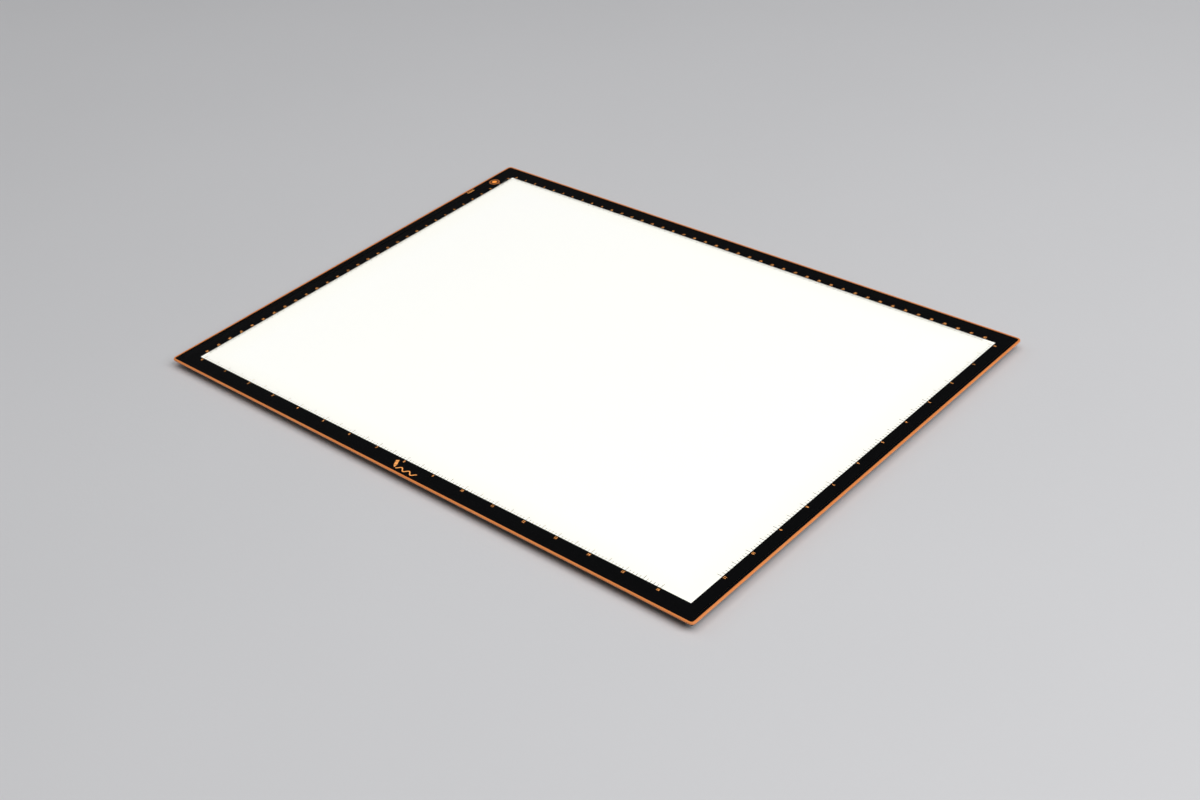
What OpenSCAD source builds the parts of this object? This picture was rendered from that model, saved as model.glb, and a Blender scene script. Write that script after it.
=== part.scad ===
// Thin LED light pad for tracing, edge lit from its two long sides.
// Origin at the middle of the footprint, +X to the right, +Y to the back, +Z up, millimetres.

/* [Outline] */
// Width over the rim
body_w = 458.5; // [440:0.5:480]
// Depth over the rim
body_d = 336.2; // [320:0.2:350]
// Outer corner radius of the rim
corner_r = 3; // [2.5:0.5:4]
// Width of the rim's top edge
rim_w = 1.2; // [1:0.1:2]

/* [Lit window] */
// Width of the lit window
window_w = 431.6; // [420:0.2:435]
// Depth of the lit window
window_d = 310.2; // [300:0.2:312]
// Black border at the left of the window
border_left = 14.1; // [13:0.1:15]
// Black border in front of the window
border_front = 11.9; // [11:0.1:13]

/* [Layers] */
// Height of the rubber feet
foot_h = 1.2; // [1:0.1:2]
// Wall of the back cover
cover_t = 0.9; // [0.8:0.1:1]
// Thickness of the white reflector sheet
reflector_t = 0.2; // [0.1:0.05:0.3]
// Thickness of the light guide
guide_t = 3; // [3:0.1:3.5]
// Thickness of the opal plate
plate_t = 1.2; // [1:0.1:1.5]
// Thickness of the printed black border
print_t = 0.1; // [0.1:0.05:0.2]
// Thickness of the clear cover sheet
sheet_t = 0.2; // [0.2:0.05:0.3]
// Height of the rim's upright side
rim_h = 1.1; // [1:0.1:1.5]

/* [Key] */
// Distance of the key from the left edge of the window
key_out = 7; // [6.8:0.1:7.2]
// Distance of the key from the back edge of the window
key_in = 13.3; // [12:0.1:16]
// Outer diameter of the key's ring
ring_d = 8; // [7.9:0.1:8.2]
// Diameter of the moving cap
cap_d = 6.5; // [6.4:0.1:6.6]
// Diameter of the coloured inlay in the cap
inlay_d = 4.3; // [4.1:0.1:4.5]

/* [Lamps] */
// How many lamps stand along each long side
lamp_count = 50; // [30:1:52]
// Length of one lamp
lamp_l = 3; // [2.8:0.1:3.5]

/* [Power inlet] */
// Distance of the inlet from the back edge of the window
inlet_in = 35; // [33:1:36]

/* [Hidden] */
$fn = 48;
half_w = body_w / 2;
half_d = body_d / 2;
gap = 0.3;

// Heights, from the feet upwards
floor_z = foot_h + cover_t;
guide_z = floor_z + reflector_t;
plate_z = guide_z + guide_t;
print_z = plate_z + plate_t;
sheet_z = print_z + print_t;
top_z = sheet_z + sheet_t;
frame_h = 2.4;
rim_z = top_z - frame_h;
flange_z = rim_z - cover_t;

// Plan sizes, from the rim inwards
land_w = 5.2;
flange_in = 1.7;
pan_in = 5.5;
pan_r = 3;
pocket_in = pan_in + cover_t;
window_x0 = -half_w + rim_w + border_left;
window_y0 = -half_d + rim_w + border_front;
window_y1 = window_y0 + window_d;
pocket_x0 = -half_w + pocket_in;
pocket_x1 = -pocket_x0;
pocket_y1 = half_d - pocket_in;
land_x1 = half_w - land_w;
land_y1 = half_d - land_w;

// Lamp rows: rail, tape, board and lamps stand one before the other
rail_t = 0.8;
rail_foot = 2.4;
rail_back = 0.2;
tape_t = 0.1;
board_t = 0.6;
lamp_t = 0.9;
lamp_h = 1.4;
lamp_face = 0.12;
rail_y = pocket_y1 - rail_back;
tape_y = rail_y - rail_t;
board_y = tape_y - tape_t;
lamp_y = board_y - board_t;
guide_y1 = lamp_y - lamp_t - 0.2;
guide_x0 = window_x0 - 1.2;
guide_x1 = pocket_x1 - 0.6;
strip_x0 = guide_x0 + 0.7;
strip_x1 = guide_x1 - 0.7;
led_board_x0 = guide_x0 - 1.4;
lamp_z = floor_z + 1.1;

// Control board, in the channel left of the light guide
board_x0 = pocket_x0 + 0.25;
board_x1 = guide_x0 - 0.5;
board_z0 = floor_z + reflector_t;
fr4_t = 0.8;
board_z = board_z0 + fr4_t;
board_y0 = 96;
board_y1 = 153;
board_mid = (board_x0 + board_x1) / 2;

key_x = window_x0 - key_out;
key_y = window_y1 - key_in;
cap_z = plate_z;
cap_flange_h = 0.55;
cap_flange_r = 3.6;
ring_z = cap_z + 0.6;
ring_id = 6.8;
well_r = 3.72;
ring_seat_r = ring_d / 2 + 0.03;

inlet_y = window_y1 - inlet_in;
inlet_z = 4;
mouth_w = 8.4;
mouth_h = 3.2;
shell_w = 7.5;
shell_h = 2.5;
shell_t = 0.25;
shell_x0 = -half_w + 1.8;
shell_x1 = shell_x0 + 5;
bump_w = 17;
bump_x0 = -half_w + 1.4;

wire_r = 0.4;
screw_in = 3.5;
screw_r = 0.8;
screw_head_r = 1.35;
pilot_h = 1.7;
screw_xs = [-200, -100, 0, 100, 200];
screw_ys = [-110, -37, 37, 150];
foot_r = 5;
foot_spots = [for (x = [-190, 0, 190], y = [-140, 140]) [x, y]];

// A flat outline with round corners, centred on the origin
module round_rect(w, d, r) {
  square([w - 2 * r, d], center = true);
  square([w, d - 2 * r], center = true);
  for (x = [-1, 1], y = [-1, 1])
    translate([x * (w / 2 - r), y * (d / 2 - r)]) circle(r);
}

// A box given by its lowest and highest corners
module block(low, high) {
  translate(low) cube(high - low);
}

// Every screw's place in plan
module at_screws() {
  for (x = screw_xs, s = [-1, 1]) translate([x, s * (half_d - screw_in)]) children();
  for (y = screw_ys, s = [-1, 1]) translate([s * (half_w - screw_in), y]) children();
}

// Half a section through the rim, from the corner's centre line outwards: its upper edge is
// eased and it slopes inwards below its upright side
module rim_section() {
  ease = 0.25;
  slope_in = 1.2;
  polygon([
    [0, rim_z], [corner_r - slope_in, rim_z], [corner_r, top_z - rim_h],
    [corner_r, top_z - ease], [corner_r - ease, top_z], [corner_r - rim_w, top_z],
    [corner_r - rim_w, print_z], [0, print_z]
  ]);
}

// The rim section swept round the whole outline
module rim_sweep() {
  core_w = body_w - 2 * corner_r;
  core_d = body_d - 2 * corner_r;
  for (turn = [0, 180]) rotate([0, 0, turn]) {
    translate([core_w / 2, core_d / 2, 0]) rotate([90, 0, 0]) linear_extrude(core_d) rim_section();
    translate([-core_w / 2, core_d / 2, 0]) rotate([90, 0, 90]) linear_extrude(core_w) rim_section();
    translate([core_w / 2, core_d / 2, 0]) rotate_extrude(angle = 90) rim_section();
    translate([core_w / 2, -core_d / 2, 0]) rotate([0, 0, -90]) rotate_extrude(angle = 90) rim_section();
  }
}

// The round well that the key and its ring sit in
module key_well() {
  translate([key_x, key_y, 0]) {
    translate([0, 0, rim_z - 1]) cylinder(r = well_r, h = ring_z - rim_z + 1);
    translate([0, 0, ring_z]) cylinder(r = ring_seat_r, h = 2);
  }
}

// The slot that a plug passes through
module plug_mouth(x0, x1) {
  block([x0, inlet_y - mouth_w / 2, inlet_z - mouth_h / 2],
        [x1, inlet_y + mouth_w / 2, inlet_z + mouth_h / 2]);
}

module edge_frame() {
  core_w = body_w - 2 * corner_r;
  core_d = body_d - 2 * corner_r;
  color("darkorange") difference() {
    union() {
      rim_sweep();
      translate([0, 0, rim_z]) linear_extrude(print_z - rim_z) difference() {
        square([core_w, core_d], center = true);
        square([2 * land_x1, 2 * land_y1], center = true);
      }
    }
    key_well();
    plug_mouth(-half_w - 1, shell_x0 + 0.1);
    block([shell_x0 - 0.2, inlet_y - mouth_w / 2, rim_z - 1],
          [-land_x1 + 1, inlet_y + mouth_w / 2, inlet_z + mouth_h / 2]);
    at_screws() translate([0, 0, rim_z - 1]) cylinder(r = screw_r, h = pilot_h + 1);
  }
}

// Where the cover reaches out to the rim round the power inlet
module inlet_bump(x0, z0, z1, half) {
  block([x0, inlet_y - half, z0], [pocket_x0 + 1, inlet_y + half, z1]);
}

module back_cover() {
  pan_w = body_w - 2 * pan_in;
  pan_d = body_d - 2 * pan_in;
  bevel = 0.4;
  color("dimgray") difference() {
    union() {
      translate([0, 0, foot_h]) linear_extrude(bevel)
        round_rect(pan_w - 2 * bevel, pan_d - 2 * bevel, pan_r - bevel);
      translate([0, 0, foot_h + bevel]) linear_extrude(flange_z - foot_h - bevel)
        round_rect(pan_w, pan_d, pan_r);
      translate([0, 0, flange_z]) linear_extrude(cover_t)
        round_rect(body_w - 2 * flange_in, body_d - 2 * flange_in, corner_r - flange_in);
      inlet_bump(bump_x0, foot_h + bevel, rim_z, bump_w / 2);
    }
    block([pocket_x0, -pocket_y1, floor_z], [pocket_x1, pocket_y1, rim_z + 1]);
    inlet_bump(bump_x0 + cover_t, floor_z, rim_z + 1, bump_w / 2 - cover_t);
    plug_mouth(-half_w, pocket_x0);
    at_screws() {
      translate([0, 0, flange_z - 1]) cylinder(r = screw_r + 0.15, h = cover_t + 2);
      translate([0, 0, flange_z]) cylinder(r1 = screw_head_r + 0.05, r2 = screw_r + 0.15, h = 0.6);
    }
  }
}

// The outline that the cover sheet and the print fill inside the rim
module sheet_outline() {
  slip = 0.1;
  difference() {
    round_rect(body_w - 2 * rim_w - slip, body_d - 2 * rim_w - slip, corner_r - rim_w);
    translate([key_x, key_y]) circle(ring_seat_r);
  }
}

module cover_sheet() {
  color("white", 0.2) translate([0, 0, sheet_z]) linear_extrude(sheet_t) sheet_outline();
}

module border_print() {
  color("black") translate([0, 0, print_z]) linear_extrude(print_t) difference() {
    sheet_outline();
    translate([window_x0, window_y0]) square([window_w, window_d]);
  }
}

module opal_plate() {
  color("white") block([guide_x0 - 0.1, -land_y1 + gap, plate_z], [land_x1 - gap, land_y1 - gap, print_z]);
}

module light_guide() {
  color("aliceblue", 0.5) block([guide_x0, -guide_y1, guide_z], [guide_x1, guide_y1, plate_z]);
}

module reflector_sheet() {
  color("white") block([guide_x0, -guide_y1, floor_z], [guide_x1, guide_y1, guide_z]);
}

module edge_reflector_left() {
  color("white") block([guide_x0 - 0.2, -guide_y1, floor_z], [guide_x0, guide_y1, plate_z]);
}

module edge_reflector_right() {
  color("white") block([guide_x1, -guide_y1, floor_z], [guide_x1 + 0.2, guide_y1, plate_z]);
}

// The lamp rows are drawn at the back and mirrored to the front
module on_side(side) {
  if (side < 0) mirror([0, 1, 0]) children();
  else children();
}

module lamp_rail(side) {
  color("silver") on_side(side) {
    block([strip_x0, tape_y, floor_z], [strip_x1, rail_y, plate_z - 0.1]);
    block([strip_x0, rail_y - rail_foot, floor_z], [strip_x1, tape_y, floor_z + 0.5]);
  }
}
module lamp_rail_front() { lamp_rail(-1); }
module lamp_rail_back() { lamp_rail(1); }

module rail_tape(side) {
  color("lightgray") on_side(side)
    block([strip_x0, board_y, floor_z + 0.6], [strip_x1, tape_y, plate_z - 0.2]);
}
module rail_tape_front() { rail_tape(-1); }
module rail_tape_back() { rail_tape(1); }

module lamp_board(side) {
  color("white") on_side(side)
    block([led_board_x0, lamp_y, floor_z + 0.6], [strip_x1, board_y, plate_z - 0.2]);
}
module lamp_board_front() { lamp_board(-1); }
module lamp_board_back() { lamp_board(1); }

// The lamps' places along a board
function lamp_x(i) = strip_x0 + 6 + i * (strip_x1 - strip_x0 - 12) / (lamp_count - 1);

module lamp_row(side) {
  pocket_l = lamp_l - 0.6;
  pocket_h = lamp_h - 0.5;
  color("ivory") on_side(side) for (i = [0 : lamp_count - 1]) difference() {
    block([lamp_x(i) - lamp_l / 2, lamp_y - lamp_t, lamp_z],
          [lamp_x(i) + lamp_l / 2, lamp_y, lamp_z + lamp_h]);
    block([lamp_x(i) - pocket_l / 2, lamp_y - lamp_t - 1, lamp_z + 0.25],
      [lamp_x(i) + pocket_l / 2, lamp_y - lamp_t + lamp_face, lamp_z + 0.25 + pocket_h]);
  }
}
module lamps_front() { lamp_row(-1); }
module lamps_back() { lamp_row(1); }

// The yellow filling in each lamp's face
module face_row(side) {
  pocket_l = lamp_l - 0.6;
  pocket_h = lamp_h - 0.5;
  color("gold") on_side(side) for (i = [0 : lamp_count - 1])
    block([lamp_x(i) - pocket_l / 2, lamp_y - lamp_t, lamp_z + 0.25],
      [lamp_x(i) + pocket_l / 2, lamp_y - lamp_t + lamp_face, lamp_z + 0.25 + pocket_h]);
}
module lamp_faces_front() { face_row(-1); }
module lamp_faces_back() { face_row(1); }

// Black plastic strip over the control board, with posts that hold the board down
module control_strip() {
  post_r = 0.8;
  post_x = board_x1 - 1.1;
  color("black") difference() {
    union() {
      block([-land_x1 + gap, -land_y1 + gap, plate_z], [guide_x0 - 0.25, land_y1 - gap, print_z]);
      for (y = [104, 126, 136]) translate([post_x, y, board_z]) cylinder(r = post_r, h = plate_z - board_z);
      for (y = [-120, -20, 60]) translate([post_x, y, floor_z]) cylinder(r = post_r, h = plate_z - floor_z);
    }
    key_well();
  }
}

module control_board() {
  tab_x0 = shell_x0 + 1.4;
  slot = 0.1;
  color("darkgreen") difference() {
    union() {
      block([board_x0, board_y0, board_z0], [board_x1, board_y1, board_z]);
      block([tab_x0, inlet_y - 6.5, board_z0], [board_x0 + 0.5, inlet_y + 6.5, board_z]);
    }
    block([tab_x0 - 1, inlet_y - shell_w / 2 - slot, board_z0 - 1],
      [shell_x1 + slot, inlet_y + shell_w / 2 + slot, board_z + 1]);
  }
}

module board_tape() {
  color("lightyellow")
    block([board_x0 + 0.4, board_y0 + 1, floor_z], [board_x1 - 0.4, board_y1 - 1, board_z0]);
}

// Components on the board: middle place in plan, and size
chip_at = [board_mid, 131.5];
driver_at = [board_mid - 0.4, 109];
transistor_at = [board_mid - 0.9, 103.6];
chip_size = [3, 3, 1];
driver_size = [3, 3.4, 1.1];
transistor_size = [1.6, 2.9, 1];

module part_body(at, size) {
  translate([at[0] - size[0] / 2, at[1] - size[1] / 2, board_z + 0.1]) cube(size);
}

// Bent metal pins down both sides of a chip
module pin_rows(at, size, rows) {
  pin_w = 0.35;
  reach = 0.7;
  for (i = [0 : rows - 1], s = [-1, 1]) {
    y = at[1] - size[1] / 2 + size[1] * (i + 0.5) / rows - pin_w / 2;
    inner = at[0] + s * size[0] / 2;
    outer = inner + s * reach;
    block([min(inner, inner + s * 0.3), y, board_z + 0.5],
          [max(inner, inner + s * 0.3), y + pin_w, board_z + 0.65]);
    block([min(inner + s * 0.15, inner + s * 0.3), y, board_z],
          [max(inner + s * 0.15, inner + s * 0.3), y + pin_w, board_z + 0.65]);
    block([min(inner + s * 0.15, outer), y, board_z],
          [max(inner + s * 0.15, outer), y + pin_w, board_z + 0.15]);
  }
}

module control_chip() { color("#222222") part_body(chip_at, chip_size); }
module driver_chip() { color("#222222") part_body(driver_at, driver_size); }
module power_transistor() { color("#222222") part_body(transistor_at, transistor_size); }

module chip_pins() {
  color("silver") {
    pin_rows(chip_at, chip_size, 4);
    pin_rows(driver_at, driver_size, 4);
    pin_rows(transistor_at, transistor_size, 2);
  }
}

module inductor() {
  size = 3.8;
  color("dimgray") translate([board_mid + 0.9, 120, board_z]) {
    translate([-size / 2, -size / 2, 0]) cube([size, size, 0.4]);
    translate([0, 0, 0.4]) cylinder(r = 1.4, h = 1);
    translate([-size / 2, -size / 2, 1.4]) cube([size, size, 0.4]);
  }
}

module capacitors() {
  color("tan") for (y = [114.2, 128.2])
    block([board_mid + 0.1, y - 0.6, board_z], [board_mid + 2.1, y + 0.6, board_z + 1.2]);
}

module resistors() {
  color("#333333") for (y = [147, 148.6, 134.8, 112.8])
    block([board_mid - 2.8, y - 0.4, board_z], [board_mid - 1.2, y + 0.4, board_z + 0.45]);
}

module lead_connector() {
  color("ivory") difference() {
    block([board_mid - 2.5, board_y0 + 1, board_z], [board_mid + 2.5, board_y0 + 5, board_z + 2]);
    for (s = [-1, 1]) translate([board_mid + s * 1.1, board_y0, board_z + 1])
      rotate([-90, 0, 0]) cylinder(r = 0.5, h = 4);
  }
}

// Small snap switch under the key
switch_w = 2.9;
switch_l = 3.9;
switch_h = 1.4;
dome_z = board_z + 0.4;
dome_r = 1.1;
dome_h = 0.4;
plunger_r = 0.7;

module switch_base() {
  color("#1a1a1a") difference() {
    block([key_x - switch_w / 2, key_y - switch_l / 2, board_z],
          [key_x + switch_w / 2, key_y + switch_l / 2, board_z + switch_h]);
    translate([key_x, key_y, dome_z]) cylinder(r = dome_r + 0.05, h = dome_h + 0.15);
    translate([key_x, key_y, dome_z]) cylinder(r = plunger_r + 0.1, h = switch_h);
  }
}

module switch_terminals() {
  color("silver") for (sy = [-1, 1], sx = [-1, 1])
    translate([key_x + sx * 0.9 - 0.25, key_y + sy * (switch_l / 2 + 0.3) - 0.3, board_z])
      cube([0.5, 0.6, 0.2]);
}

module snap_dome() {
  sheet = 0.08;
  color("silver") translate([key_x, key_y, dome_z]) rotate_extrude() polygon([
    [0, dome_h - sheet], [dome_r * 0.5, dome_h * 0.72 - sheet], [dome_r - 0.1, 0], [dome_r, 0],
    [dome_r * 0.55, dome_h * 0.78], [0, dome_h]
  ]);
}

module switch_plunger() {
  color("#eeeeee") translate([key_x, key_y, dome_z + dome_h + 0.02])
    cylinder(r = plunger_r, h = cap_z - dome_z - dome_h - 0.02);
}

module key_cap() {
  color("black") translate([key_x, key_y, cap_z]) difference() {
    union() {
      cylinder(r = cap_flange_r, h = cap_flange_h);
      cylinder(d = cap_d, h = top_z - cap_z);
    }
    translate([0, 0, top_z - cap_z - 0.5]) cylinder(d = inlay_d, h = 1);
  }
}

module key_inlay() {
  color("orange") translate([key_x, key_y, top_z - 0.5]) cylinder(d = inlay_d, h = 0.5);
}

module key_ring() {
  color("orange") translate([key_x, key_y, ring_z]) difference() {
    cylinder(d = ring_d, h = top_z - ring_z);
    translate([0, 0, -1]) cylinder(d = ring_id, h = 4);
  }
}

// Micro power socket, let into a slot of the control board
module socket_shell() {
  color("lightgray") translate([0, inlet_y, inlet_z]) difference() {
    block([shell_x0, -shell_w / 2, -shell_h / 2], [shell_x1, shell_w / 2, shell_h / 2]);
    block([shell_x0 - 1, -shell_w / 2 + shell_t, -shell_h / 2 + shell_t],
      [shell_x1 - 0.8, shell_w / 2 - shell_t, shell_h / 2 - shell_t]);
  }
}

module socket_tongue() {
  color("#202020") translate([0, inlet_y, inlet_z])
    block([shell_x0 + 0.8, -2.2, 0], [shell_x1 - 0.8, 2.2, 0.6]);
}

module socket_contacts() {
  color("gold") translate([0, inlet_y, inlet_z])
    for (i = [-2 : 2]) block([shell_x0 + 1, i * 0.65 - 0.15, -0.15], [shell_x1 - 0.8, i * 0.65 + 0.15, 0]);
}

// A round wire swept along its points, as one closed skin
function unit(v) = v / norm(v);
function spline(p, k) = [
  for (i = [0 : len(p) - 2])
    let (a = p[max(i - 1, 0)], b = p[i], c = p[i + 1], d = p[min(i + 2, len(p) - 1)])
    for (s = [0 : k - 1]) let (t = s / k)
      0.5 * (2 * b + (c - a) * t + (2 * a - 5 * b + 4 * c - d) * t * t
        + (3 * b - a - 3 * c + d) * t * t * t),
  p[len(p) - 1]
];
function way(p, i) = i == 0 ? unit(p[1] - p[0])
  : i == len(p) - 1 ? unit(p[i] - p[i - 1])
  : unit(p[i + 1] - p[i - 1]);

module wire(route) {
  sides = 8;
  p = spline(route, 3);
  n = len(p);
  points = [
    for (i = [0 : n - 1]) let (w = way(p, i), u = unit(cross(w, [0, 0, 1])), v = cross(u, w))
      for (s = [0 : sides - 1]) p[i] + wire_r * (u * cos(s * 360 / sides) + v * sin(s * 360 / sides))
  ];
  faces = concat(
    [[for (s = [0 : sides - 1]) s]],
    [[for (s = [sides - 1 : -1 : 0]) (n - 1) * sides + s]],
    [for (i = [0 : n - 2], s = [0 : sides - 1])
      let (a = i * sides + s, b = i * sides + (s + 1) % sides) [a, a + sides, b + sides, b]]
  );
  polyhedron(points, faces);
}

pad_x = led_board_x0 + 0.6;
wire_z = floor_z + wire_r + 0.06;
front_red = [
  [-220.2, 97, 4.1], [-220.2, 94.5, 4.1], [-220.4, 88, 2.75], [-220.6, 60, wire_z], [-220.5, 0, wire_z],
  [-220.6, -70, wire_z], [-220.5, -130, wire_z], [-219.4, -148, 3], [pad_x - 0.4, -156, 4.3],
  [pad_x, -158.6, 4.4], [pad_x, -lamp_y, 4.4]
];
front_black = [
  [-218, 97, 4.1], [-218, 94.5, 4.1], [-218.8, 88, 2.75], [-219.4, 60, wire_z], [-219.3, 0, wire_z],
  [-219.4, -70, wire_z], [-219.3, -130, wire_z], [-218, -148, 2.8], [pad_x - 0.4, -156, 3.2],
  [pad_x, -158.6, 3.2], [pad_x, -lamp_y, 3.2]
];
back_red = [
  [-219.8, 150.4, board_z + wire_r], [-219.7, 152, board_z + wire_r], [-218, 156, 4],
  [pad_x, 158.6, 4.4], [pad_x, lamp_y, 4.4]
];
back_black = [
  [-217.6, 150.4, board_z + wire_r], [-217.5, 152, board_z + wire_r],
  [pad_x - 0.6, 155.6, 3.3], [pad_x, 158.6, 3.2], [pad_x, lamp_y, 3.2]
];

module lead_front_red() { color("red") wire(front_red); }
module lead_front_black() { color("black") wire(front_black); }
module lead_back_red() { color("red") wire(back_red); }
module lead_back_black() { color("black") wire(back_black); }

module wire_tapes() {
  tape_z = wire_z + wire_r + 0.05;
  color("goldenrod") for (y = [-100, -40, 30])
    block([pocket_x0 + 0.5, y - 4, tape_z], [board_x1 - 2.2, y + 4, tape_z + 0.1]);
}

module cover_screws() {
  head_h = 0.6;
  color("silver") at_screws() difference() {
    union() {
      translate([0, 0, flange_z]) cylinder(r1 = screw_head_r, r2 = screw_r, h = head_h);
      translate([0, 0, flange_z + head_h]) cylinder(r = screw_r, h = cover_t - head_h + pilot_h - 0.1);
    }
    for (turn = [0, 90]) rotate([0, 0, turn]) translate([-0.75, -0.15, flange_z - 1])
      cube([1.5, 0.3, 1.35]);
  }
}

module feet() {
  color("#303030") for (p = foot_spots) translate([p[0], p[1], 0]) {
    cylinder(r1 = foot_r - 0.3, r2 = foot_r, h = 0.3);
    translate([0, 0, 0.3]) cylinder(r = foot_r, h = foot_h - 0.3);
  }
}

module rating_label() {
  color("silver") translate([0, -90, foot_h - 0.1]) linear_extrude(0.1) round_rect(60, 30, 2);
}

edge_frame();
back_cover();
cover_sheet();
border_print();
opal_plate();
light_guide();
reflector_sheet();
edge_reflector_left();
edge_reflector_right();
lamp_rail_front();
lamp_rail_back();
rail_tape_front();
rail_tape_back();
lamp_board_front();
lamp_board_back();
lamps_front();
lamps_back();
lamp_faces_front();
lamp_faces_back();
control_strip();
control_board();
board_tape();
control_chip();
driver_chip();
chip_pins();
power_transistor();
inductor();
capacitors();
resistors();
lead_connector();
switch_base();
switch_terminals();
snap_dome();
switch_plunger();
key_cap();
key_inlay();
key_ring();
socket_shell();
socket_tongue();
socket_contacts();
lead_front_red();
lead_front_black();
lead_back_red();
lead_back_black();
wire_tapes();
cover_screws();
feet();
rating_label();
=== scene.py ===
"""Looks for a thin LED light pad: a lit tracing window with printed scales in an orange rim.

Everything is in metres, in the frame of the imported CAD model.
"""

import logging
import math
from dataclasses import dataclass, field
from enum import Enum
from typing import Any, Iterable, Sequence

import bmesh
import bpy
from mathutils import Matrix, Vector


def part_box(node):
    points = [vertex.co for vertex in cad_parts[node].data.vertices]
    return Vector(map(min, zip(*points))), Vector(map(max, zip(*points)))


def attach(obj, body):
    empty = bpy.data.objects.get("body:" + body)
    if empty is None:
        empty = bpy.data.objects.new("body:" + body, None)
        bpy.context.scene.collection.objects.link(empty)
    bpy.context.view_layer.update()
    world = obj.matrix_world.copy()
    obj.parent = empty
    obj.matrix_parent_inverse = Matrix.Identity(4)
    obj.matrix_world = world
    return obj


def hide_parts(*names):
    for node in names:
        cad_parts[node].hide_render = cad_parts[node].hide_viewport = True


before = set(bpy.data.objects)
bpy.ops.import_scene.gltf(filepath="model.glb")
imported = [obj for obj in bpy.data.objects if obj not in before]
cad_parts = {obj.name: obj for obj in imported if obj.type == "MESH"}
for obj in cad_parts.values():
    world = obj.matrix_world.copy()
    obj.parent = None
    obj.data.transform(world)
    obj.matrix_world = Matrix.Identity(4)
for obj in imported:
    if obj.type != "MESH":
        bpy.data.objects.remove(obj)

Tree = bpy.types.NodeTree
Node = bpy.types.Node
Socket = bpy.types.NodeSocket
Material = bpy.types.Material
Mesh = bpy.types.Mesh
Ring = list[bmesh.types.BMVert]

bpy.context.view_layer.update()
MM = 0.001
INCH = 25.4 * MM
NOISE = "ShaderNodeTexNoise"
ROOT = "pad"

logging.basicConfig(level=logging.INFO, format="%(message)s")
log = logging.getLogger("light_pad")


def linear(hex_colour: str) -> tuple[float, float, float, float]:
    """Turns an sRGB hex colour into linear light.

    Args:
        hex_colour: Six hex digits with a leading hash.

    Returns:
        Red, green, blue and an alpha of 1.
    """
    parts = [int(hex_colour[i:i + 2], 16) / 255 for i in (1, 3, 5)]
    red, green, blue = [p / 12.92 if p <= 0.04045 else ((p + 0.055) / 1.055) ** 2.4 for p in parts]
    return red, green, blue, 1.0


def per_metre(size_mm: float) -> float:
    """A texture's scale for a feature of this size in millimetres."""
    return 1 / (size_mm * MM)


# Node helpers


def add_node(
    tree: Tree,
    kind: str,
    settings: dict[str, Any] | None = None,
    inputs: dict[str | int, Any] | None = None,
) -> Node:
    """Adds a node, sets its properties and fills or links its inputs.

    Args:
        tree: The node tree to add to.
        kind: Blender's name for the node's type.
        settings: Properties of the node.
        inputs: Values or output sockets for its inputs, by name or number.

    Returns:
        The new node.
    """
    node = tree.nodes.new(kind)
    for name, value in (settings or {}).items():
        setattr(node, name, value)
    for key, value in (inputs or {}).items():
        if isinstance(value, Socket):
            tree.links.new(value, node.inputs[key])
        else:
            node.inputs[key].default_value = value
    return node


def noise_inputs(where: Socket, size_mm: float, detail: float) -> dict[str | int, Any]:
    """The inputs of a noise texture.

    Args:
        where: The coordinates.
        size_mm: The size of its features in millimetres.
        detail: How many finer octaves it has.

    Returns:
        Values by the inputs' names.
    """
    return {"Vector": where, "Scale": per_metre(size_mm), "Detail": detail}


def plan_inputs(
    where: Socket, centre: tuple[float, float], half_size: tuple[float, float]
) -> dict[str | int, Any]:
    """The inputs of a mapping to 0 at a centre in plan and 1 at half a size from it.

    Args:
        where: The coordinates.
        centre: The centre's X and Y.
        half_size: The distances along X and Y that become 1.

    Returns:
        Values by the inputs' names.
    """
    (x, y), (half_x, half_y) = centre, half_size
    shift, scale = (-x / half_x, -y / half_y, 0), (1 / half_x, 1 / half_y, 0)
    return {"Vector": where, "Location": shift, "Scale": scale}


def apply_pattern(
    shader: Node,
    pattern: Socket,
    stops: Sequence[tuple[float, str]] = (),
    colours: Sequence[str] = ("Base Color",),
    gloss: tuple[float, float] | None = None,
    depth_mm: float = 0.0,
    strength: float = 1.0,
) -> None:
    """Lets a pattern change a shader's colour, gloss and height, each where it is asked for.

    Args:
        shader: The shader's node.
        pattern: The pattern, about 0 to 1.
        stops: Places on the pattern from 0 to 1, each with its hex colour.
        colours: The shader's inputs that get the colour.
        gloss: The roughness at 0 and at 1.
        depth_mm: How deep the pattern is, in millimetres.
        strength: How much of that depth is used.
    """
    tree = shader.id_data
    if stops:
        ramp = add_node(tree, "ShaderNodeValToRGB", inputs={"Fac": pattern})
        elements = ramp.color_ramp.elements
        while len(elements) < len(stops):
            elements.new(0.5)
        for element, (place, colour) in zip(elements, stops):
            element.position = place
            element.color = linear(colour)
        for name in colours:
            tree.links.new(ramp.outputs["Color"], shader.inputs[name])
    if gloss:
        sizes = {"Value": pattern, "To Min": gloss[0], "To Max": gloss[1]}
        mapped = add_node(tree, "ShaderNodeMapRange", inputs=sizes)
        tree.links.new(mapped.outputs["Result"], shader.inputs["Roughness"])
    if depth_mm:
        sizes = {"Height": pattern, "Distance": depth_mm * MM, "Strength": strength}
        bump = add_node(tree, "ShaderNodeBump", inputs=sizes)
        tree.links.new(bump.outputs["Normal"], shader.inputs["Normal"])


# Finishes


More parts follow.
